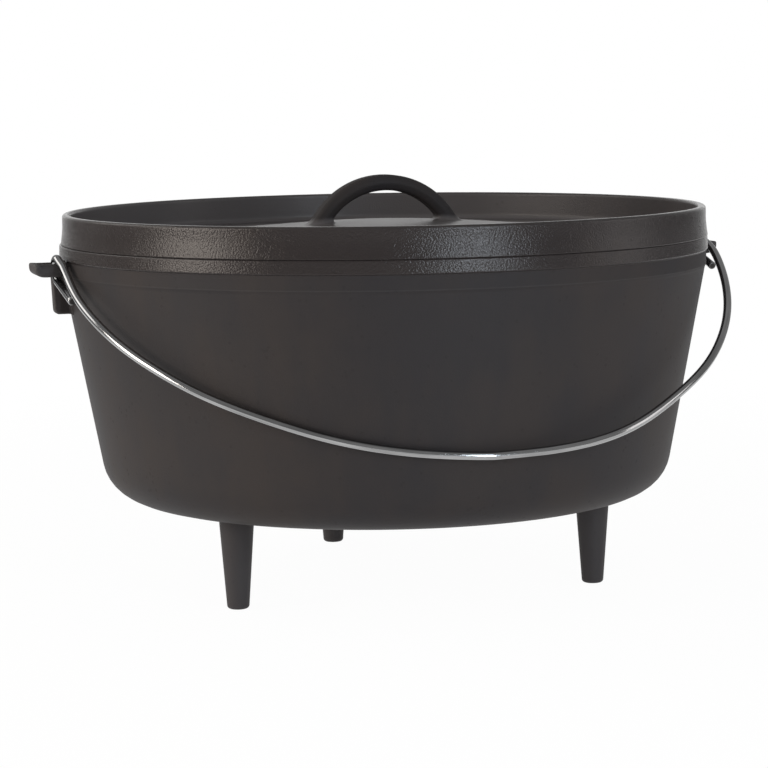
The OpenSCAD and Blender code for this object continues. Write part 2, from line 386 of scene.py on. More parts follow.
@dataclass
class Carving:
    """A solid given by its signed distance and cut out of a grid of small cells.

    Attributes:
        distance: Signed distance at points, negative inside.
        low: Lowest corner of the grid, outside of the solid.
        high: Highest corner of the grid.
        cell: Size of a cell.
        probe: Step for the slope of the distance.
        pulls: How often each vertex is pulled onto the surface.
        pull_most: Longest pull, as a share of a cell.
        steep_least: Least square of the slope that a pull goes by.
        rub_probe: Step for the bend of the surface.
        rub_start: Bend at which an edge starts to be rubbed.
        rub_run: Further bend at which it is wholly rubbed.
    """

    distance: Distance
    low: Sequence[float]
    high: Sequence[float]
    cell: float = 0.5
    probe: float = 0.02
    pulls: int = 4
    pull_most: float = 0.4
    steep_least: float = 0.2
    rub_probe: float = 0.8
    rub_start: float = 0.35
    rub_run: float = 0.9

    def _slope(self, p: np.ndarray) -> np.ndarray:
        """Gives the slope of the distance at points."""
        h = self.probe
        steps = np.eye(3) * h
        return np.stack(
            [(self.distance(p + s) - self.distance(p - s)) / (2 * h) for s in steps], axis=-1
        )

    def _edge_faces(self, sign: np.ndarray, number: np.ndarray, axis: int) -> Faces:
        """Gives the faces around the grid edges along one axis.

        Args:
            sign: True where a grid point is inside.
            number: Vertex number of each cell, or -1.
            axis: Axis of the edges.

        Returns:
            Faces of four vertices each.
        """
        sign, number = np.moveaxis(sign, axis, 0), np.moveaxis(number, axis, 0)
        here, there = sign[:-1, 1:-1, 1:-1], sign[1:, 1:-1, 1:-1]
        i, j, k = np.nonzero(here != there)
        around = ((0, 0), (1, 0), (1, 1), (0, 1))
        ring = np.stack([number[i, j + u, k + v] for u, v in around], axis=-1)
        outward = here[i, j, k] if axis != 1 else ~here[i, j, k]
        ring[~outward] = ring[~outward][:, ::-1]
        return [tuple(f) for f in ring.tolist()]

    def shell(self) -> Shell:
        """Cuts the solid out as a closed shell, with worn outer edges."""
        low, high = np.asarray(self.low, float), np.asarray(self.high, float)
        counts = np.ceil((high - low) / self.cell).astype(int) + 1
        axes = [low[k] + self.cell * np.arange(counts[k]) for k in range(3)]
        grid = np.stack(np.meshgrid(*axes, indexing="ij"), axis=-1)
        value = self.distance(grid.reshape(-1, 3)).reshape(grid.shape[:3])
        sign = value < 0.0
        total = np.zeros(tuple(counts - 1) + (3,))
        hits = np.zeros(tuple(counts - 1))
        shift = [slice(None, -1), slice(1, None)]
        for axis in range(3):
            others = [k for k in range(3) if k != axis]
            for u in shift:
                for v in shift:
                    first: list[slice] = [slice(None, -1)] * 3
                    first[others[0]], first[others[1]] = u, v
                    second = list(first)
                    second[axis] = slice(1, None)
                    a, b = value[tuple(first)], value[tuple(second)]
                    cut = (a < 0.0) != (b < 0.0)
                    share = np.where(cut, a / np.where(cut, a - b, 1.0), 0.0)
                    start, end = grid[tuple(first)], grid[tuple(second)]
                    spot = start + share[..., None] * (end - start)
                    total += np.where(cut[..., None], spot, 0.0)
                    hits += cut
        used = hits > 0
        number = np.full(used.shape, -1)
        number[used] = np.arange(int(used.sum()))
        points = total[used] / hits[used][:, None]
        for _ in range(self.pulls):
            slope = self._slope(points)
            steep = np.maximum((slope**2).sum(-1, keepdims=True), self.steep_least)
            pull = self.distance(points)[:, None] * slope / steep
            reach = np.linalg.norm(pull, axis=-1, keepdims=True)
            points = points - pull * np.minimum(1.0, self.pull_most * self.cell / np.maximum(reach, TINY))
        faces = [f for axis in range(3) for f in self._edge_faces(sign, number, axis)]
        return Shell(points, faces, self._wear(points))

    def _wear(self, points: np.ndarray) -> np.ndarray:
        """Finds rubbed edges: places where the solid falls away fast on all sides."""
        h = self.rub_probe
        around = sum(self.distance(points + s) + self.distance(points - s) for s in np.eye(3) * h)
        bend = around / (h * h) - 6.0 * self.distance(points) / (h * h)
        return np.clip((bend - self.rub_start) / self.rub_run, 0.0, 1.0)


class Term:
    """A value socket that takes part in Python sums: each sum adds its Math node."""

    def __init__(self, sheet: "NodeSheet", socket: bpy.types.NodeSocket) -> None:
        """Wraps a socket of a sheet."""
        self.sheet = sheet
        self.socket = socket

    def _sum(self, step: Sum, left: Number, right: Number) -> "Term":
        """Adds one Math node and gives its result."""
        return self.sheet.make("ShaderNodeMath", {"operation": step.value}, {0: left, 1: right})

    def __add__(self, other: Number) -> "Term":
        """self + other."""
        return self._sum(Sum.ADD, self, other)

    def __radd__(self, other: Number) -> "Term":
        """other + self."""
        return self._sum(Sum.ADD, other, self)

    def __sub__(self, other: Number) -> "Term":
        """self - other."""
        return self._sum(Sum.TAKE, self, other)

    def __rsub__(self, other: Number) -> "Term":
        """other - self."""
        return self._sum(Sum.TAKE, other, self)

    def __mul__(self, other: Number) -> "Term":
        """self * other."""
        return self._sum(Sum.TIMES, self, other)

    def __rmul__(self, other: Number) -> "Term":
        """other * self."""
        return self._sum(Sum.TIMES, other, self)

    def most(self, other: Number) -> "Term":
        """The larger of two values."""
        return self._sum(Sum.MORE, self, other)

    def ramp(self, low: float, high: float) -> "Term":
        """Rises smoothly from 0 at low to 1 at high."""
        return self.sheet.make(
            "ShaderNodeMapRange",
            {"interpolation_type": "SMOOTHSTEP"},
            {"Value": self, "From Min": low, "From Max": high},
        )


class NodeSheet:
    """The node tree of one material or of the world, filled through one method."""

    def __init__(self, owner: Union[bpy.types.Material, bpy.types.World]) -> None:
        """Empties the tree of its owner."""
        owner.use_nodes = True
        self.tree = owner.node_tree
        self.tree.nodes.clear()

    def make(
        self,
        kind: str,
        settings: Mapping[str, Any],
        sockets: Mapping[Union[str, int], Any],
        result: Union[str, int] = 0,
    ) -> Term:
        """Adds a node.

        Args:
            kind: Type of the node.
            settings: Its settings, set before its sockets.
            sockets: Values or terms of its input sockets, by name or number.
            result: Output socket to hand back, by name or number.

        Returns:
            The output socket as a term.
        """
        node = self.tree.nodes.new(kind)
        for name, value in settings.items():
            setattr(node, name, value)
        for name, value in sockets.items():
            if isinstance(value, Term):
                self.tree.links.new(value.socket, node.inputs[name])
            else:
                node.inputs[name].default_value = value
        return Term(self, node.outputs[result]) if len(node.outputs) else Term(self, node.inputs[0])

    def blend(self, share: Number, first: Any, second: Any) -> Term:
        """Mixes two colours."""
        first, second = ((*c, 1.0) if isinstance(c, tuple) else c for c in (first, second))
        return self.make("ShaderNodeMix", {"data_type": "RGBA"}, {0: share, 6: first, 7: second}, 2)

    def stretched(self, vector: Term, scale: Sequence[float]) -> Term:
        """Scales a vector by its three parts."""
        return self.make("ShaderNodeVectorMath", {"operation": "MULTIPLY"}, {0: vector, 1: scale})

    def length(self, vector: Term) -> Term:
        """Gives the length of a vector."""
        return self.make("ShaderNodeVectorMath", {"operation": "LENGTH"}, {0: vector}, "Value")

    def attribute(self, name: str, result: str) -> Term:
        """Reads an attribute of the mesh."""
        return self.make("ShaderNodeAttribute", {"attribute_name": name}, {}, result)

    def ray(self, kind: str) -> Term:
        """Gives 1 on rays of one kind, such as Camera, and 0 on all others."""
        return self.make("ShaderNodeLightPath", {}, {}, f"Is {kind} Ray")

    def cells(self, vector: Term, scale: float) -> Term:
        """Gives the distance to the middle of the nearest of many small cells."""
        sockets = {"Vector": vector, "Scale": scale}
        return self.make("ShaderNodeTexVoronoi", {"feature": "F1"}, sockets, "Distance")

    def bump(self, distance: float, height: Term) -> Term:
        """Gives the normal of a surface that is raised by the distance where the height is 1."""
        return self.make("ShaderNodeBump", {}, {"Strength": 1.0, "Distance": distance, "Height": height})

    def surface(self, sockets: Mapping[Union[str, int], Any]) -> None:
        """Closes a material with the Principled shader and its output."""
        skin = self.make("ShaderNodeBsdfPrincipled", {}, sockets)
        self.make("ShaderNodeOutputMaterial", {}, {"Surface": skin})

    def noise(self, vector: Term, scale: float, detail: float = 2.0, roughness: float = 0.5) -> Term:
        """Adds a noise that varies from about 0 to 1."""
        return self.make(
            "ShaderNodeTexNoise",
            {},
            {"Vector": vector, "Scale": scale, "Detail": detail, "Roughness": roughness},
        )


@dataclass(frozen=True)
class SeasonedIron:
    """Sand-cast iron, blacked by baked oil: satin on the wall, sandy and glossier around the rim.

    Heights and distances from the axis are metres, and a pair of them is where a change starts and
    where it ends. Scales of patterns are repeats in a metre.

    Attributes:
        black: Colour of thick seasoning.
        brown: Colour where the oil baked on less thickly.
        bare: Colour of rubbed edges.
        painted_fill_light: Colour painted on the legs and the ears, lighter than the black: a painted fill
            light that lifts the shade falling on them.
        painted_light_inside: Colour painted inside the flange and on the lid plate, lighter than the black:
            painted light that brightens them beyond what their lighting gives.
        pit: Colour in the pits.
        gloss: Specular level of the oil skin.
        sheen: Colour of its reflections.
        wall: Roughness of the wall.
        collar: Roughness of the collar under the lip.
        rim: Roughness of the lip and of the outside of the flange.
        inside: Roughness inside the flange and on the lid plate.
        leg_z: Heights over which the legs turn into the floor, where their painted fill light fades out.
        collar_z: Heights over which the collar starts.
        lip_z: Heights over which the lip starts.
        lid_z: Heights over which the inside of the lid starts.
        lid_r: Distances over which it ends.
        ear_r: Distances over which the ears start, and with them their painted fill light.
        loop_r: Distances over which the loop ends.
        loop_rise: Heights above the plate over which the loop starts.
        crown_z: Height of the middle of the plate.
        crown_fall: How fast the plate falls away with the square of the distance.
        sand: Scales of coarse and fine sand.
        grit: Scale of the grit.
        swell: Scale of the soft waves of the skin.
        patch: Scale of the patches of the seasoning.
        runs: Scales of the runs of oil along X, Y and Z.
        pits: Scale of the pits.
        pit_fields: Scale of the fields in which pits lie.
    """

    black: Colour = (0.0186, 0.0163, 0.0174)
    brown: Colour = (0.0258, 0.0206, 0.0192)
    bare: Colour = (0.085, 0.080, 0.077)
    painted_fill_light: Colour = (0.041, 0.037, 0.038)
    painted_light_inside: Colour = (0.080, 0.073, 0.073)
    pit: Colour = (0.012, 0.011, 0.011)
    gloss: float = 0.25
    sheen: Colour = (1.0, 0.97, 0.95)
    wall: float = 0.60
    collar: float = 0.68
    rim: float = 0.19
    inside: float = 0.36
    leg_z: Span = (0.036, 0.050)
    collar_z: Span = (0.1548, 0.1562)
    lip_z: Span = (0.1630, 0.1638)
    lid_z: Span = (0.1640, 0.1652)
    lid_r: Span = (0.1536, 0.1552)
    ear_r: Span = (0.1602, 0.1616)
    loop_r: Span = (0.052, 0.058)
    loop_rise: Span = (0.0008, 0.0035)
    crown_z: float = 0.1786
    crown_fall: float = 0.92
    sand: Span = (1150.0, 2000.0)
    grit: float = 1900.0
    swell: float = 85.0
    patch: float = 16.0
    runs: Place = (46.0, 46.0, 7.0)
    pits: float = 260.0
    pit_fields: float = 120.0

    @staticmethod
    def _domes(sheet: NodeSheet, place: Term, scale: float) -> Term:
        """Gives the height of small domes, as grains of sand leave them, from 1 down to 0."""
        cells = sheet.cells(place, scale)
        return 1.0 - cells * cells

    def material(self, name: str) -> bpy.types.Material:
        """Makes the material.

        Args:
            name: Name of the material.

        Returns:
            The material, on object coordinates in metres.
        """
        material = bpy.data.materials.new(name)
        sheet = NodeSheet(material)
        place = sheet.make("ShaderNodeTexCoord", {}, {}, "Object")
        height = sheet.make("ShaderNodeSeparateXYZ", {}, {0: place}, 2)
        reach = sheet.length(sheet.stretched(place, (1.0, 1.0, 0.0)))
        worn = sheet.attribute("worn", "Fac")
        inner = (1.0 - reach.ramp(*self.lid_r)) * height.ramp(*self.lid_z)
        loop = (height - self.crown_z + reach * reach * self.crown_fall).ramp(*self.loop_rise)
        plate = inner * (1.0 - loop * (1.0 - reach.ramp(*self.loop_r)))
        collar = height.ramp(*self.collar_z)
        rim = height.ramp(*self.lip_z) * (1.0 - inner)
        coarse, fine = (self._domes(sheet, place, scale) for scale in self.sand)
        sand = coarse * 0.7 + fine * 0.3
        grit = sheet.noise(place, self.grit, 2.0, 0.6)
        swell = sheet.noise(place, self.swell, 2.0, 0.5)
        patch = sheet.noise(place, self.patch, 3.0, 0.55)
        runs = sheet.noise(sheet.stretched(place, self.runs), 1.0, 3.0, 0.6)
        pits = 1.0 - sheet.cells(place, self.pits).ramp(0.08, 0.30)
        pits = pits * sheet.noise(place, self.pit_fields, 1.0).ramp(0.52, 0.62)
        tint = (patch * 0.6 + runs * 0.4).ramp(0.40, 0.66).most(rim * 0.7)
        colour = sheet.blend(tint, self.black, self.brown)
        # Painted fill light: the legs and the ears get a lighter colour that lifts the shade falling on
        # them.
        legs = (1.0 - height.ramp(*self.leg_z)) * (0.6 + 0.4 * runs)
        colour = sheet.blend(legs.most(reach.ramp(*self.ear_r) * 0.8), colour, self.painted_fill_light)
        # Painted light: inside the flange and on the plate, though not on the loop, the colour is lighter
        # than the lighting makes it.
        colour = sheet.blend(plate * (0.7 + 0.3 * patch), colour, self.painted_light_inside)
        colour = sheet.blend(pits * (0.08 + 0.22 * rim), colour, self.pit)
        colour = sheet.blend(worn * (0.12 + 0.4 * grit), colour, self.bare)
        rough = self.wall + collar * (self.collar - self.wall) + rim * (self.rim - self.collar)
        rough = rough + plate * (self.inside - rough)
        rough = rough + (patch - 0.5) * 0.10 + (runs - 0.5) * 0.08 + (grit - 0.5) * 0.06
        rough = rough + pits * 0.10 - worn * 0.10
        smooth = Grain.SATIN.value / Grain.SANDY.value
        depth = smooth + rim * (1.0 - smooth)
        rise = (sand * 0.48 + grit * 0.12) * depth + swell * 0.2 - pits * (0.06 + 0.2 * rim)
        sheet.surface(
            {
                "Base Color": colour,
                "Roughness": rough,
                "Specular IOR Level": self.gloss,
                "Specular Tint": (*self.sheen, 1.0),
                "Normal": sheet.bump(Grain.SANDY.value * MM, rise),
            }
        )
        return material


@dataclass(frozen=True)
class DrawnSteel:
    """Bright wire, with the long marks of the die it was drawn through.

    Attributes:
        bright: Colour of the polished lines.
        dull: Colour of the grey film between them.
        speck: Colour of small dark specks.
        sheared: Colour of the cut ends.
        roughness: Roughness of the polished lines.
        depth: Depth of the marks in millimetres.
        lines: Repeats of the marks in a metre, along the wire and across it.
        fine: Repeats of finer marks.
        film: Repeats of the grey film.
        specks: Repeats of the specks.
    """

    bright: Colour = (0.44, 0.44, 0.442)
    dull: Colour = (0.27, 0.27, 0.272)
    speck: Colour = (0.10, 0.095, 0.09)
    sheared: Colour = (0.045, 0.042, 0.040)
    roughness: float = 0.10
    depth: float = 0.02
    lines: Place = (26.0, 2600.0, 2600.0)
    fine: Place = (70.0, 7000.0, 7000.0)
    film: Place = (24.0, 160.0, 160.0)
    specks: float = 900.0

    def material(self, name: str) -> bpy.types.Material:
        """Makes the material.

        Args:
            name: Name of the material.

        Returns:
            The material, laid along the wire.
        """
        material = bpy.data.materials.new(name)
        sheet = NodeSheet(material)
        run = sheet.attribute("run", "Vector")
        cut = sheet.attribute("worn", "Fac")
        lines = sheet.noise(sheet.stretched(run, self.lines), 1.0, 3.0, 0.6)
        fine = sheet.noise(sheet.stretched(run, self.fine), 1.0, 2.0, 0.6)
        film = sheet.noise(sheet.stretched(run, self.film), 1.0, 3.0, 0.6)
        specks = sheet.noise(run, self.specks, 2.0, 0.6).ramp(0.70, 0.78)
        colour = sheet.blend((lines * 0.55 + film * 0.45).ramp(0.36, 0.64), self.dull, self.bright)
        colour = sheet.blend(specks * 0.5, colour, self.speck)
        colour = sheet.blend(cut, colour, self.sheared)
        rough = self.roughness + (lines - 0.5) * 0.10 + (film - 0.5) * 0.06 + specks * 0.15 + cut * 0.45
        normal = sheet.bump(self.depth * MM, lines * 0.7 + fine * 0.3 - specks * 0.4)
        sheet.surface({"Base Color": colour, "Metallic": 1.0, "Roughness": rough, "Normal": normal})
        return material


@dataclass
class Leg:
    """A tapered leg that flows into the floor of the kettle, where a hidden disc closes it."""

    foot_r: float = 5.2
    foot_edge: float = 1.7
    top_r: float = 8.5
    fillet: float = 4.5
    sunk: float = 0.05
    disc_w: float = 7.0
    disc_t: float = 1.6
    segments: int = 56
    step: float = 2.2

    def shell(self, floor_z: float) -> Shell:
        """Builds the leg on the Z axis.

        Args:
            floor_z: Height of the underside of the kettle.

        Returns:
            The leg, closed inside the floor.
        """
        seat, disc_r = floor_z + self.sunk, self.top_r + self.disc_w
        corners = [
            Corner(0.0, 0.0),
            Corner(self.foot_r, 0.0, self.foot_edge),
            Corner(self.top_r, seat, self.fillet),
            Corner(disc_r, seat),
            Corner(disc_r, seat + self.disc_t),
            Corner(0.0, seat + self.disc_t),
        ]
        return Turning(corners, self.segments, self.step).shell()


@dataclass
class Ear:
    """A flat cast ring with a rib under its rear bar, built on the right side.

    Names that end in flow are widths of fillets. A slab of the wall is kept inside the metal, the
    block cuts the ear and the slab off, and the grid is what is carved.
    """

    bar_half: float = 3.2
    bar_y: float = 6.2
    bar_z: float = 159.7
    root: float = 140.0
    eye_end: float = 171.8
    eye_corner: float = 1.6
    reach: float = 175.1
    edge: float = 2.7
    end_edge: float = 0.9
    end_lead: float = 0.8
    end_run: float = 2.0
    corner: float = 1.3
    under_r: float = 4.6
    under_l: float = 6.2
    under_edge: float = 0.8
    rib_y: float = 6.5
    rib_t: float = 5.6
    rib_root: float = 149.0
    rib_low: float = 137.9
    rib_drop: float = 1.0
    rib_reach: float = 164.8
    rib_corner: float = 2.4
    rib_edge: float = 1.0
    rib_flow: float = 1.4
    wall_flow: float = 2.2
    sunk: float = 0.06
    slab_t: float = 3.0
    block: tuple[Place, Place] = ((146.0, -14.0, 131.5), (178.0, 14.0, 167.0))
    block_edge: float = 0.2
    grid: tuple[Place, Place] = ((145.0, -15.0, 130.5), (177.2, 15.0, 168.0))
    cell: float = 0.5

    def ring(self, p: np.ndarray) -> np.ndarray:
        """Gives the distance to the ring: two bars and a rounded end around a slot.

        Args:
            p: Points, n by 3.

        Returns:
            One distance for each point.
        """
        flat, start = p[..., :2], (self.root, 0.0)
        outer = Form.panel(flat, start, (self.reach, self.bar_y + self.bar_half), self.corner)
        slot = Form.panel(flat, start, (self.eye_end, self.bar_y - self.bar_half), self.eye_corner)
        share = np.clip((p[..., 0] - self.eye_end + self.end_lead) / self.end_run, 0.0, 1.0)
        edge = self.edge + (self.end_edge - self.edge) * share
        across = np.maximum(outer, -slot) + edge
        up = np.abs(p[..., 2] - self.bar_z) - self.bar_half + edge
        soft = np.hypot(np.maximum(across, 0.0), np.maximum(up, 0.0))
        ring = soft + np.minimum(np.maximum(across, up), 0.0) - edge
        under = np.hypot(
            np.maximum(p[..., 0] - (self.reach - self.under_l), 0.0) * self.under_r / self.under_l,
            np.minimum(p[..., 2] - (self.bar_z - self.bar_half + self.under_r), 0.0),
        )
        return Form.eased(ring, under - self.under_r, self.under_edge)

    def distance(self, wall: Distance) -> Distance:
        """Gives the signed distance of the ear, flowed into the wall.

        Args:
            wall: Signed distance of the outside of the kettle.

        Returns:
            Signed distance of the ear with a hidden slab inside the wall.
        """

        def total(p: np.ndarray) -> np.ndarray:
            """Signed distance at points."""
            lean = (self.bar_z - p[..., 2]) / (self.bar_z - self.rib_low)
            flat = np.stack([p[..., 0] + lean, p[..., 2]], axis=-1)
            root, end = self.rib_root, self.rib_reach - self.rib_corner
            low, high = self.rib_low + self.rib_corner, self.bar_z - self.rib_drop
            side = Form.outline(flat, [(root, low), (end, low), (end, high), (root, high)])
            thick = np.abs(p[..., 1] - self.rib_y) - self.rib_t / 2
            rib = Form.eased(side - self.rib_corner, thick, self.rib_edge)
            body = Form.flowed(self.ring(p), rib, self.rib_flow)
            outside = wall(p)
            skin = Form.flowed(body, outside + self.sunk, self.wall_flow)
            return np.maximum(skin, -(outside + self.slab_t))

        return total

    def shell(self, wall: Distance) -> Shell:
        """Carves the ear, closed inside the wall.

        Args:
            wall: Signed distance of the outside of the kettle.

        Returns:
            The ear on the right side.
        """
        body = self.distance(wall)

        def boxed(p: np.ndarray) -> np.ndarray:
            """The ear, cut to the block."""
            return np.maximum(body(p), Form.block(p, *self.block, self.block_edge))

        return Carving(boxed, *self.grid, self.cell).shell()


@dataclass
class Kettle:
    """The kettle: a turned shell with three legs and two ears, cast in one.

    Names that end in round or edge are radii of roundings. The bevel runs from the wall out to the
    collar, and the undercut is the step from the collar out to the lip. The table holds distances
    to the outside of the wall around the ears, and its outline closes at the core.
    """

    rim_z: float = 170.1
    rim_r: float = 159.4
    rim_draft: float = 0.2
    rim_edge: float = 0.7
    lip_h: float = 6.2
    lip_edge: float = 0.6
    undercut_in: float = 0.75
    undercut_down: float = 0.5
    undercut_round: float = 0.45
    mouth_r: float = 152.5
    mouth_edge: float = 0.9
    throat_z: float = 153.05
    throat_round: float = 6.0
    shoulder_r: float = 158.0
    shoulder_z: float = 155.3
    bevel_in: float = 0.05
    bevel_down: float = 0.3
    bevel_round: float = 4.0
    bevel_out: float = 0.6
    bevel_up: float = 1.3
    bevel_edge: float = 1.6
    floor_z: float = 44.9
    floor_r: float = 137.618
    floor_t: float = 5.5
    belly_round: float = 20.4
    inner_r: float = 133.55
    inner_round: float = 14.4
    unevenness: float = 0.10
    core_r: float = 100.0
    core_z: float = 100.0
    table_from: float = 120.0
    table_r: Span = (138.0, 182.0)
    table_z: Span = (126.0, 172.0)
    table_step: float = 0.2
    outline_step: float = 1.5
    leg_circle_r: float = 103.526
    leg_angles: tuple[float, ...] = (-150.0, -30.0, 90.0)
    leg: Leg = field(default_factory=Leg)
    ear: Ear = field(default_factory=Ear)

    def corners(self) -> list[Corner]:
        """Gives the profile of the shell, from the underside to the inside."""
        lip_z, inner_z = self.rim_z - self.lip_h, self.floor_z + self.floor_t
        return [
            Corner(0.0, self.floor_z),
            Corner(self.floor_r, self.floor_z, self.belly_round),
            Corner(self.shoulder_r - self.bevel_in, self.shoulder_z - self.bevel_down, self.bevel_round),
            Corner(self.shoulder_r + self.bevel_out, self.shoulder_z + self.bevel_up, self.bevel_edge),
            Corner(self.rim_r - self.undercut_in, lip_z - self.undercut_down, self.undercut_round),
            Corner(self.rim_r, lip_z, self.lip_edge, rubbed=0.0),
            Corner(self.rim_r - self.rim_draft, self.rim_z, self.rim_edge, rubbed=0.0),
            Corner(self.mouth_r, self.rim_z, self.mouth_edge),
            Corner(self.mouth_r, self.throat_z, self.throat_round),
            Corner(self.inner_r, inner_z, self.inner_round),
            Corner(0.0, inner_z),
        ]

    def wall(self) -> Distance:
        """Gives the signed distance of the outside of the shell near the ears."""
        rows = Turning(self.corners(), step=self.outline_step).profile()[:, :2]
        outside = [row for row in rows if row[0] > self.table_from and row[1] > self.core_z]
        highest = next(i for i, row in enumerate(outside) if row[1] > self.rim_z - CLOSE)
        ring = [(self.core_r, self.core_z), *outside[: highest + 1], (self.core_r, self.rim_z)]
        step = self.table_step
        radii, heights = np.arange(*self.table_r, step), np.arange(*self.table_z, step)
        table = Form.outline(np.stack(np.meshgrid(radii, heights, indexing="ij"), axis=-1), ring)
        most_u, most_v = (size - 1.0 - CLOSE for size in table.shape)

        def read(p: np.ndarray) -> np.ndarray:
            """Reads the distance out of the table, with even steps between its places."""
            u = np.clip((np.hypot(p[..., 0], p[..., 1]) - radii[0]) / step, 0.0, most_u)
            v = np.clip((p[..., 2] - heights[0]) / step, 0.0, most_v)
            i, j = u.astype(int), v.astype(int)
            a, b = u - i, v - j
            low = table[i, j] * (1.0 - b) + table[i, j + 1] * b
            high = table[i + 1, j] * (1.0 - b) + table[i + 1, j + 1] * b
            return low * (1.0 - a) + high * a

        return read

    def build(self) -> bpy.types.Object:
        """Builds the casting as one piece."""
        shells = [Turning(self.corners(), unevenness=self.unevenness).shell()]
        leg = self.leg.shell(self.floor_z).moved((self.leg_circle_r, 0.0, 0.0))
        shells += [leg.turned(angle) for angle in self.leg_angles]
        ear = self.ear.shell(self.wall())
        shells += [ear, ear.mirrored()]
        return Shell.joined(shells).to_object("kettle_casting")

    def dress(self, piece: bpy.types.Object, iron: SeasonedIron) -> None:
        """Gives the kettle its finish and its place in the frame.

        Args:
            piece: The casting.
            iron: Its finish.
        """
        piece.data.materials.append(iron.material("seasoned_iron_kettle"))
        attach(piece, "kettle")
        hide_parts("kettle")


@dataclass
class Loop:
    """The loop handle: an arch of soft-edged flat section that flows into the lid.

    A slab of the plate is kept inside the metal, the block cuts it off, and the grid is what is carved.
    """

    centre_z: float = 159.3
    mid_r: float = 37.8
    thick: float = 7.7
    wide: float = 12.0
    edge: float = 2.6
    crown: float = 0.5
    fillet: float = 4.0
    sunk: float = 0.06
    slab_t: float = 2.2
    block: tuple[Place, Place] = ((-54.0, -17.0, 150.0), (54.0, 17.0, 220.0))
    block_edge: float = 0.2
    grid: tuple[Place, Place] = ((-55.0, -18.0, 168.0), (55.0, 18.0, 204.0))
    cell: float = 0.6

    def distance(self, plate: Heights) -> Distance:
        """Gives the signed distance of the loop, flowed into the plate.

        Args:
            plate: Height of the plate at a distance from the axis.

        Returns:
            Signed distance with a hidden slab inside the plate.
        """
        half_t, half_w = self.thick / 2 - self.edge, self.wide / 2 - self.edge - self.crown
        ring = [
            (-half_t, -half_w),
            (0.0, -half_w - self.crown),
            (half_t, -half_w),
            (half_t, half_w),
            (0.0, half_w + self.crown),
            (-half_t, half_w),
        ]

        def total(p: np.ndarray) -> np.ndarray:
            """Signed distance at points."""
            arch = np.hypot(p[..., 0], p[..., 2] - self.centre_z) - self.mid_r
            bar = Form.outline(np.stack([arch, p[..., 1]], axis=-1), ring) - self.edge
            over = p[..., 2] - plate(np.hypot(p[..., 0], p[..., 1]))
            skin = Form.flowed(bar, over + self.sunk, self.fillet)
            kept = np.maximum(skin, -(over + self.slab_t))
            return np.maximum(kept, Form.block(p, *self.block, self.block_edge))

        return total

    def shell(self, plate: Heights) -> Shell:
        """Carves the loop, closed inside the plate."""
        return Carving(self.distance(plate), *self.grid, self.cell).shell()


@dataclass
class Lid:
    """The lid: a domed plate with a raised flange, a plug and a loop handle, cast in one."""

    seat_z: float = 170.1
    flange_r: float = 158.0
    flange_z: float = 184.7
    flange_t: float = 4.0
    flange_edge: float = 1.5
    fillet: float = 6.0
    flare: float = 1.0
    flare_h: float = 9.0
    flare_from: float = 0.86
    flare_power: float = 1.5
    flare_steps: int = 12
    plate_z: float = 170.2
    plate_t: float = 5.0
    plate_gap: float = 2.4
    plate_steps: int = 40
    dome_r: float = 150.0
    dome_h: float = 8.4
    plug_r: float = 151.3
    plug_z: float = 165.2
    plug_edge: float = 0.9
    seat_edge: float = 0.5
    unevenness: float = 0.16
    shift: float = 0.5
    loop: Loop = field(default_factory=Loop)

    def plate(self, r: np.ndarray) -> np.ndarray:
        """Gives the height of the top of the plate at a distance from the axis."""
        share = np.minimum(np.asarray(r, float), self.dome_r) / self.dome_r
        return self.plate_z + self.dome_h * (1.0 + np.cos(math.pi * share)) / 2

    def corners(self) -> list[Corner]:
        """Gives the profile of the lid, from the underside over the flange to the top."""
        steps = np.linspace(0.0, 1.0, self.plate_steps)
        under = [Corner(r, float(self.plate(r)) - self.plate_t) for r in (steps * self.dome_r)[:-1]]
        skirt = [
            Corner(self.flange_r + self.flare * t**self.flare_power, self.seat_z + self.flare_h * (1.0 - t))
            for t in np.linspace(self.flare_from, 0.0, self.flare_steps)
        ]
        top_r = steps * (self.dome_r - self.plate_gap)
        top = [Corner(r, float(self.plate(r))) for r in top_r[::-1]]
        inside_r = self.flange_r - self.flange_t
        return [
            *under,
            Corner(self.plug_r, self.plug_z, self.plug_edge),
            Corner(self.plug_r, self.seat_z, self.seat_edge),
            Corner(self.flange_r + self.flare, self.seat_z, self.seat_edge, rubbed=0.0),
            *skirt,
            Corner(self.flange_r, self.flange_z, self.flange_edge),
            Corner(inside_r, self.flange_z, self.flange_edge),
            Corner(inside_r, self.plate_z, self.fillet),
            *top,
        ]

    def build(self) -> bpy.types.Object:
        """Builds the casting as one piece."""
        body = Turning(self.corners(), unevenness=self.unevenness).shell()
        casting = Shell.joined([body, self.loop.shell(self.plate)])
        return casting.moved((self.shift, 0.0, 0.0)).to_object("lid_casting")

    def dress(self, piece: bpy.types.Object, iron: SeasonedIron) -> None:
        """Gives the lid its finish and its place in the frame.

        Args:
            piece: The casting.
            iron: Its finish.
        """
        piece.data.materials.append(iron.material("seasoned_iron_lid"))
        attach(piece, "lid")
        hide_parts("lid")


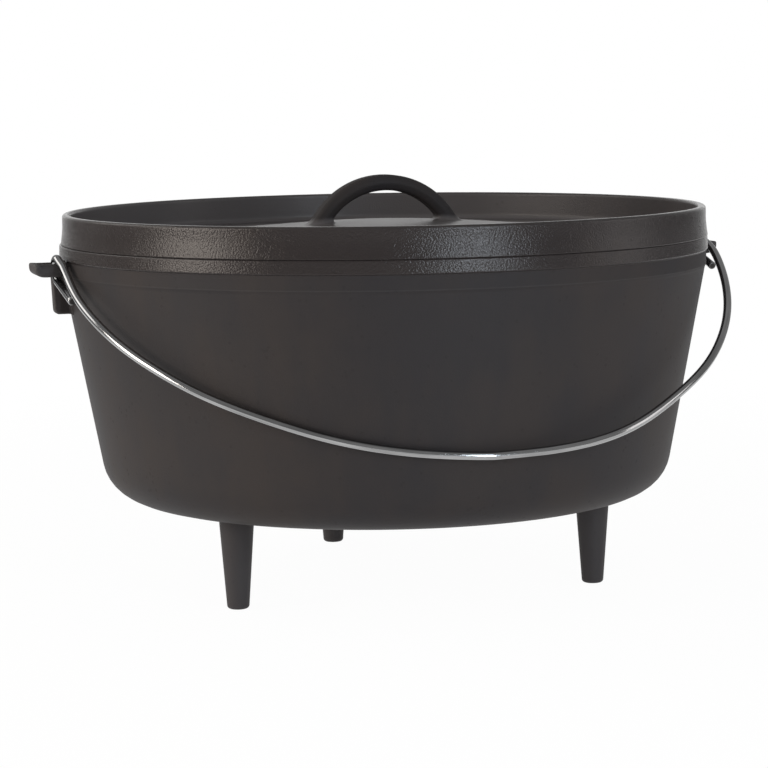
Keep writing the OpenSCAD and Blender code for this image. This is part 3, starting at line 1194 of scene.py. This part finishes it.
@dataclass
class Bail:
    """The bail: one length of wire, bent to an arc with a hook at each end.

    Attributes:
        wire_r: Radius of the wire.
        half: Half of the distance between the hooks.
        drop: Depth of the arc under the hooks.
        shift: How far the whole wire lies to the right.
        sway: How much further to the right its lowest point lies.
        split: Angle at which the middle arc turns into the side arc.
        hook_r: Radius of a hook.
        hook_turn: Angle that a hook turns through.
        right_tip: Length of the straight tip on the right.
        left_tip: Length of the straight tip on the left.
        tilt: How far the arc hangs below level, in degrees.
        pivot_y: Place of the pivot along Y.
        pivot_z: Height of the pivot.
        kink: Depth of a kink near the lowest point.
        kink_l: Half of its length.
        kink_x: Its place along X, counted from the lowest point.
        bend_at: Places of the bends, as shares of the way to the hook.
        bend_run: Length of a bend, as such a share.
        bend_calm: Shares over which bends fade at the lowest point and at the hook.
        right_bends: How far the wire lies outward at each bend on the right.
        left_bends: How far it lies outward at each bend on the left.
        right_leans: How far the foot, the top and the tip of the right hook lean outward.
        left_leans: How far those of the left hook lean outward.
        foot_back: How far before the crest of a hook its foot leans most.
        foot_runs: Lengths over which that lean comes and goes.
        top_back: How far before the crest its top leans most.
        top_run: Length over which that lean comes and goes.
        points: Number of points on the middle arc, the side arc, the hook and the tip.
        sides: Number of vertices around the wire.
        ends: Lengths from a sheared end, with the share of the radius there.
        end_l: Length at each end that has only these rings.
    """

    wire_r: float = 2.0
    half: float = 166.7
    drop: float = 162.1
    shift: float = 2.7
    sway: float = 7.0
    split: float = 45.0
    hook_r: float = 5.7
    hook_turn: float = 195.0
    right_tip: float = 12.0
    left_tip: float = 27.0
    tilt: float = 31.01
    pivot_y: float = -6.2
    pivot_z: float = 159.7
    kink: float = 0.55
    kink_l: float = 26.0
    kink_x: float = -4.5
    bend_at: tuple[float, ...] = (0.22, 0.42, 0.62, 0.82)
    bend_run: float = 0.13
    bend_calm: Span = (0.08, 0.06)
    right_bends: tuple[float, ...] = (1.35, -1.90, -0.65, 0.0)
    left_bends: tuple[float, ...] = (-0.35, -2.35, -2.15, -1.15)
    right_leans: Place = (0.0, -3.6, 0.0)
    left_leans: Place = (-1.7, 0.0, -3.0)
    foot_back: float = 16.0
    foot_runs: Span = (20.0, 6.5)
    top_back: float = 5.0
    top_run: float = 9.5
    points: tuple[int, int, int, int] = (100, 90, 48, 15)
    sides: int = 24
    ends: tuple[Span, ...] = ((0.0, 0.60), (0.12, 0.84), (0.32, 0.96), (0.62, 1.0))
    end_l: float = 0.9

    def bent(self, arc: np.ndarray, bends: Sequence[float]) -> np.ndarray:
        """Bends an arc a little out of its true curve, as a hand-bent wire lies.

        Args:
            arc: Points from the lowest point to the hook, n by 3.
            bends: How far the wire lies outward at each place of bend_at.

        Returns:
            The points, moved in the plane of the bail.
        """
        ahead = np.gradient(arc[:, :2], axis=0)
        ahead /= np.linalg.norm(ahead, axis=1, keepdims=True)
        share = length_along(arc)
        share /= share[-1]
        out = sum(
            much * np.exp(-(((share - at) / self.bend_run) ** 2)) for at, much in zip(self.bend_at, bends)
        )
        calm_low, calm_hook = self.bend_calm
        out = out * np.clip(share / calm_low, 0.0, 1.0) * np.clip((1.0 - share) / calm_hook, 0.0, 1.0)
        moved = arc.copy()
        moved[:, 0] += ahead[:, 1] * out
        moved[:, 1] -= ahead[:, 0] * out
        return moved

    def branch(self, span: float, tip_l: float, bends: Sequence[float], leans: Place) -> np.ndarray:
        """Gives the middle line from the lowest point to the tip of a hook on the right.

        Args:
            span: Distance from the lowest point to the hook, along X.
            tip_l: Length of the straight tip.
            bends: How far the wire lies outward at each place of bend_at.
            leans: How far the foot of the hook, its top and the end of its tip lean outward.

        Returns:
            Points before the tilt, n by 3, with X counted from the lowest point.
        """
        split = math.radians(self.split)
        more = (span - self.drop) / (math.cos(split) + math.sin(split) - 1.0)
        side_r = span - more * math.cos(split)
        mid_r, mid_y = side_r + more, more * math.sin(split)
        mid_n, side_n, hook_n, tip_n = self.points
        rows: list[Place] = []
        for a in np.linspace(-math.pi / 2, -split, mid_n):
            rows.append((mid_r * math.cos(a), mid_y + mid_r * math.sin(a), self.hook_r))
        for a in np.linspace(-split, 0.0, side_n)[1:]:
            rows.append((span - side_r + side_r * math.cos(a), side_r * math.sin(a), self.hook_r))
        rows = [tuple(row) for row in self.bent(np.array(rows), bends)]
        for a in np.radians(np.linspace(180.0, 180.0 - self.hook_turn, hook_n)[1:]):
            rows.append((span, self.hook_r * math.sin(a), -self.hook_r * math.cos(a)))
        last = np.array(rows[-1])
        lean = math.radians(270.0 - self.hook_turn)
        ahead = np.array([0.0, -math.sin(lean), math.cos(lean)])
        tip = [last + ahead * d for d in np.linspace(0.0, tip_l, tip_n)[1:]]
        line = np.concatenate([np.array(rows), np.array(tip)])
        length = length_along(line)
        crest = length[-1] - tip_l - self.hook_r * (math.radians(self.hook_turn) - math.pi / 2)
        past = np.clip((length - crest) / (length[-1] - crest), 0.0, 1.0)
        foot = length - crest + self.foot_back
        top = (length - crest + self.top_back) / self.top_run
        line[:, 0] += leans[0] * np.exp(-((foot / np.where(foot < 0.0, *self.foot_runs)) ** 2))
        line[:, 0] += leans[1] * np.exp(-(top**2)) + leans[2] * past
        return line

    def path(self) -> np.ndarray:
        """Gives the whole middle line in the frame, from the left tip to the right tip."""
        right = self.branch(self.half - self.sway, self.right_tip, self.right_bends, self.right_leans)
        left = self.branch(self.half + self.sway, self.left_tip, self.left_bends, self.left_leans)
        left = left[:0:-1] * np.array([-1.0, 1.0, 1.0])
        x, y, z = np.concatenate([left, right]).T
        y = y - self.kink * np.clip(1.0 - np.abs(x - self.kink_x) / self.kink_l, 0.0, 1.0) ** 2
        c, s = math.cos(math.radians(self.tilt)), math.sin(math.radians(self.tilt))
        turned = np.stack([x, y * c - z * s, y * s + z * c], -1)
        return turned + np.array([self.shift + self.sway, self.pivot_y, self.pivot_z])

    def shell(self) -> Shell:
        """Sweeps the wire along its line, with sheared and rubbed ends."""
        line = self.path()
        ahead = np.gradient(line, axis=0)
        ahead /= np.linalg.norm(ahead, axis=1, keepdims=True)
        across = np.cross(ahead[0], (0.0, 0.0, 1.0))
        across /= np.linalg.norm(across)
        length = length_along(line)
        around = np.arange(self.sides) * 2.0 * math.pi / self.sides
        spokes = np.stack([np.cos(around), np.sin(around)], -1)
        stations: list[Span] = list(self.ends)
        stations += [(d, 1.0) for d in length if self.end_l < d < length[-1] - self.end_l]
        stations += [(length[-1] - d, k) for d, k in reversed(self.ends)]
        rings: list[np.ndarray] = []
        runs: list[np.ndarray] = []
        for d, k in stations:
            middle = np.array([np.interp(d, length, line[:, axis]) for axis in range(3)])
            along = np.array([np.interp(d, length, ahead[:, axis]) for axis in range(3)])
            along /= np.linalg.norm(along)
            across = across - along * (across @ along)
            across /= np.linalg.norm(across)
            up = np.cross(along, across)
            wheel = spokes[:, :1] * across + spokes[:, 1:] * up
            rings.append(middle + self.wire_r * k * wheel)
            runs.append(np.column_stack([np.full(self.sides, d), spokes * self.wire_r * k]))
        points = np.concatenate([*rings, line[[0, -1]]])
        run = np.concatenate([*runs, [[0.0, 0.0, 0.0], [length[-1], 0.0, 0.0]]])
        cut = np.zeros((len(rings), self.sides))
        cut[[0, -1]] = 1.0
        cut[[1, -2]] = 0.5
        worn = np.concatenate([cut.ravel(), [1.0, 1.0]])
        return Shell(points, Shell.tube_faces(len(rings), self.sides), worn, run)

    def build(self) -> bpy.types.Object:
        """Builds the wire as one piece."""
        return self.shell().to_object("bail_wire")

    def dress(self, piece: bpy.types.Object, steel: DrawnSteel) -> None:
        """Gives the bail its finish and its place in the frame.

        Args:
            piece: The wire.
            steel: Its finish.
        """
        piece.data.materials.append(steel.material("drawn_steel_wire"))
        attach(piece, "bail")
        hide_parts("bail")


@dataclass(frozen=True)
class Softbox:
    """A soft lamp that faces the oven.

    Attributes:
        name: Name of the lamp.
        azimuth: Its place around the oven in degrees, 0 at the camera, plus to the right.
        height: Height of its middle in metres.
        distance: Distance from the axis in metres.
        size: Width and height in metres.
        radiance: Brightness of its face.
        tint: Colour of its light.
        aim_z: Height on the axis that it faces, in metres.
    """

    name: str
    azimuth: float
    height: float
    distance: float
    size: tuple[float, float]
    radiance: float
    tint: Colour
    aim_z: float = 0.11

    def place(self, heading: float) -> None:
        """Hangs the lamp.

        Args:
            heading: Heading of the camera around the oven, in degrees.
        """
        lamp = bpy.data.lights.new(self.name, "AREA")
        lamp.shape = "RECTANGLE"
        lamp.size, lamp.size_y = self.size
        lamp.energy = self.radiance * math.pi * self.size[0] * self.size[1]
        lamp.color = self.tint
        angle = math.radians(self.azimuth + heading)
        spot = Vector((math.sin(angle) * self.distance, -math.cos(angle) * self.distance, self.height))
        aim = Vector((0.0, 0.0, self.aim_z)) - spot
        turn = aim.to_track_quat("-Z", "Y").to_matrix().to_4x4()
        linked(self.name, lamp).matrix_world = Matrix.Translation(spot) @ turn


@dataclass
class Studio:
    """White floor and background, soft lamps, and the camera of the picture.

    Attributes:
        heading: Place of the camera around the oven in degrees, 0 at the front, plus to the right.
        distance: Distance of the camera from the axis in metres.
        height: Height of the camera in metres.
        pitch: How far it looks down, in radians.
        roll: How far it leans, in radians.
        lens: Focal length in millimetres.
        sensor: Width of the sensor in millimetres.
        shift_x: Sideways shift of the picture, as a share of its width.
        near: Nearest distance that it sees, in metres.
        ambient: Strength of the light that the room scatters.
        room_front: How bright reflections show the room, apart from the white wall at the rear.
        room_dark: Share of that which is left below the horizon.
        horizon: Slopes over which the room brightens.
        wall_edge: Closeness to the view ahead over which the white wall starts.
        floor_paint: Colour of the floor.
        floor_white: How white the floor shows near the oven.
        floor_far: Distances over which it turns wholly white, in metres.
        floor_half: Reach of the floor to the sides and the rear, in metres.
        floor_front: Its reach to the front, in metres.
        lamps: The lamps.
    """

    heading: float = -16.5
    distance: float = 1.2877
    height: float = 0.2518
    pitch: float = 0.11975
    roll: float = 0.0149
    lens: float = 122.06
    sensor: float = 36.0
    shift_x: float = -0.00195
    near: float = 0.05
    ambient: float = 0.50
    room_front: float = 0.30
    room_dark: float = 0.25
    horizon: Span = (-0.10, 0.03)
    wall_edge: Span = (0.84, 0.98)
    floor_paint: Colour = (0.9, 0.9, 0.9)
    floor_white: float = 0.97
    floor_far: Span = (0.3, 0.9)
    floor_half: float = 1.15
    floor_front: float = 9.0
    lamps: tuple[Softbox, ...] = (
        Softbox("left_softbox", -65.0, 0.36, 1.20, (0.50, 0.68), 7.7, (1.0, 0.93, 0.85)),
        Softbox("right_softbox", 29.0, 0.33, 1.15, (0.15, 0.62), 19.5, (0.80, 0.90, 1.0)),
        Softbox("right_fill", 85.0, 0.36, 1.20, (0.45, 0.68), 1.6, (1.0, 0.97, 0.96)),
        Softbox("rear_left_softbox", -103.0, 0.82, 1.20, (0.95, 0.62), 2.2, (1.0, 0.97, 0.93)),
    )

    @staticmethod
    def _seen(sheet: NodeSheet) -> Term:
        """Gives 1 where the eye, a reflection or glass looks, and 0 for light that is scattered."""
        return sheet.ray("Camera").most(sheet.ray("Glossy")).most(sheet.ray("Transmission"))

    def _ahead(self) -> Vector:
        """Gives the level way in which the camera looks."""
        turn = math.radians(self.heading)
        return Vector((-math.sin(turn), math.cos(turn), 0.0))

    def lay_floor(self) -> None:
        """Lays a pale floor, white to the eye, that keeps a soft shadow and is clear from below."""
        half, front = self.floor_half, self.floor_front
        corners = [(-half, -front, 0.0), (half, -front, 0.0), (half, half, 0.0), (-half, half, 0.0)]
        mesh = bpy.data.meshes.new("floor")
        mesh.from_pydata(corners, [], [(0, 1, 2, 3)])
        floor = linked("floor", mesh)
        material = bpy.data.materials.new("floor_white")
        sheet = NodeSheet(material)
        paint = sheet.make("ShaderNodeBsdfDiffuse", {}, {"Color": (*self.floor_paint, 1.0)})
        glow = sheet.make("ShaderNodeEmission", {}, {"Color": WHITE, "Strength": 1.0})
        place = sheet.make("ShaderNodeNewGeometry", {}, {}, "Position")
        far = sheet.length(place).ramp(*self.floor_far)
        share = self._seen(sheet) * (self.floor_white + (1.0 - self.floor_white) * far)
        mixed = sheet.make("ShaderNodeMixShader", {}, {0: share, 1: paint, 2: glow})
        below = sheet.make("ShaderNodeNewGeometry", {}, {}, "Backfacing")
        clear = sheet.make("ShaderNodeBsdfTransparent", {}, {})
        whole = sheet.make("ShaderNodeMixShader", {}, {0: below, 1: mixed, 2: clear})
        sheet.make("ShaderNodeOutputMaterial", {}, {"Surface": whole})
        mesh.materials.append(material)

    def light(self) -> None:
        """Sets the even light of the room and hangs the lamps."""
        world = bpy.data.worlds.new("white_room")
        bpy.context.scene.world = world
        sheet = NodeSheet(world)
        way = sheet.make("ShaderNodeTexCoord", {}, {}, "Generated")
        sockets = {0: way, 1: tuple(self._ahead())}
        facing = sheet.make("ShaderNodeVectorMath", {"operation": "DOT_PRODUCT"}, sockets, "Value")
        above = sheet.make("ShaderNodeSeparateXYZ", {}, {0: way}, 2).ramp(*self.horizon)
        shown = self.room_front * (self.room_dark + (1.0 - self.room_dark) * above)
        shown = shown + (1.0 - self.room_front) * facing.ramp(*self.wall_edge)
        straight = sheet.ray("Camera").most(sheet.ray("Transmission"))
        mirrored = sheet.ray("Glossy") * shown
        strength = straight.most(mirrored) + (1.0 - self._seen(sheet)) * self.ambient
        room = sheet.make("ShaderNodeBackground", {}, {"Color": WHITE, "Strength": strength})
        sheet.make("ShaderNodeOutputWorld", {}, {"Surface": room})
        for lamp in self.lamps:
            lamp.place(self.heading)

    def set_camera(self) -> None:
        """Stands the camera where the picture was taken."""
        data = bpy.data.cameras.new("camera")
        data.sensor_width = self.sensor
        data.lens = self.lens
        data.shift_x = self.shift_x
        data.clip_start = self.near
        ahead = self._ahead()
        spot = -ahead * self.distance + Vector((0.0, 0.0, self.height))
        look = ahead * math.cos(self.pitch) - Vector((0.0, 0.0, math.sin(self.pitch)))
        right = look.cross(Vector((0.0, 0.0, 1.0))).normalized()
        up = right.cross(look)
        c, s = math.cos(self.roll), math.sin(self.roll)
        x, y = right * c - up * s, right * s + up * c
        rows = Matrix((x, y, -look)).transposed().to_4x4()
        camera = linked("camera", data)
        camera.matrix_world = Matrix.Translation(spot) @ rows
        bpy.context.scene.camera = camera

    def build(self) -> None:
        """Sets the whole studio up."""
        bpy.context.scene.view_settings.view_transform = "Standard"
        self.lay_floor()
        self.light()
        self.set_camera()


def main() -> None:
    """Builds the studio and the three pieces, and reports each."""
    logging.basicConfig(level=logging.INFO, format="%(message)s")
    Studio().build()
    iron, steel = SeasonedIron(), DrawnSteel()
    kettle, lid, bail = Kettle(), Lid(), Bail()
    for maker, finish in ((kettle, iron), (lid, iron), (bail, steel)):
        piece = maker.build()
        maker.dress(piece, finish)
        LOG.info("%s: %d faces", piece.name, len(piece.data.polygons))


if __name__ == "__main__":
    main()
